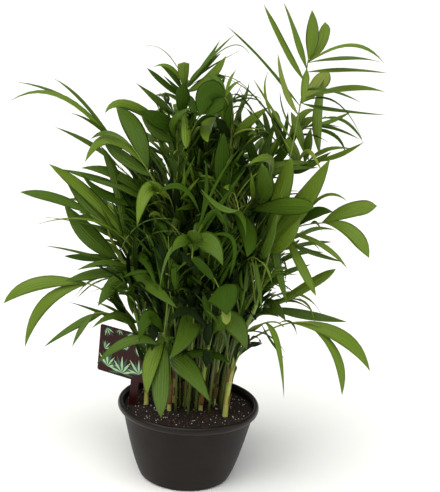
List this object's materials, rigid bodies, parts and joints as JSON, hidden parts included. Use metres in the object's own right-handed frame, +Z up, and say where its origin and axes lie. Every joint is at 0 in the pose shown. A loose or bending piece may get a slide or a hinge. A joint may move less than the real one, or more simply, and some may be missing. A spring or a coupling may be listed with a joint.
{
  "type": "potted bamboo palm",
  "caption": "Bushy clump-forming palm with ringed green canes and arching feathered fronds, growing in a round black nursery pot of soil with a plant tag.",
  "frame": {"origin": "centre of the pot's flat underside, at the level it stands on", "axes": "+Z up, -Y towards the viewer of the pictured front, +X to that viewer's right"},
  "size_m": [0.6485, 0.4799, 0.8466],
  "materials": {
    "pot": "moulded matt black-brown plastic with a faint sheen on the rolled lip",
    "soil": "moist dark peat mix with bark crumbs and white perlite",
    "plant_tag": "dark maroon printed plastic card with plain pale leaf shapes",
    "cane": "smooth yellow-green cane skin with pale ring scars and papery sheaths",
    "leaf": "satin mid-green leaflets with a fine lengthwise grain, paler beneath"
  },
  "bodies": {
    "root": {"pot": "pot", "soil": "soil", "plant_tag": "plant_tag", "cane_right_front": "cane", "cane_right_back": "cane", "cane_back_right": "cane", "cane_back_left": "cane", "cane_left": "cane", "cane_front_left": "cane", "cane_front_right": "cane", "cane_middle_right": "cane", "cane_middle_back": "cane", "cane_middle_left": "cane", "cane_middle_front": "cane", "cane_inner_right": "cane", "cane_inner_left": "cane", "cane_inner_back": "cane", "heart_right": "leaf", "heart_left": "leaf", "heart_back": "leaf", "frond_left_fork": "leaf", "frond_left_low": "leaf", "frond_left_middle": "leaf", "frond_left_broad": "leaf", "frond_left_upper": "leaf", "frond_left_thin": "leaf", "frond_left_arching": "leaf", "frond_right_fork": "leaf", "frond_right_fan": "leaf", "frond_right_middle": "leaf", "frond_right_leafy": "leaf", "frond_right_upper": "leaf", "frond_right_high": "leaf", "frond_right_crest": "leaf", "frond_front_hanging": "leaf", "frond_front_low": "leaf", "frond_front_side": "leaf", "frond_front_left": "leaf", "frond_front_right": "leaf", "frond_front_corner": "leaf", "frond_front_centre": "leaf", "frond_front_arch": "leaf", "frond_front_upper": "leaf", "frond_front_facing": "leaf", "frond_top_left": "leaf", "frond_top_front": "leaf", "frond_top_centre": "leaf", "frond_top_middle": "leaf", "frond_top_right": "leaf", "frond_back_low_1": "leaf", "frond_back_low_2": "leaf", "frond_back_low_3": "leaf", "frond_back_low_4": "leaf", "frond_back_low_5": "leaf", "frond_back_middle_1": "leaf", "frond_back_middle_2": "leaf", "frond_back_middle_3": "leaf", "frond_back_middle_4": "leaf", "frond_back_upper_1": "leaf", "frond_back_upper_2": "leaf"}
  },
  "joints": []
}
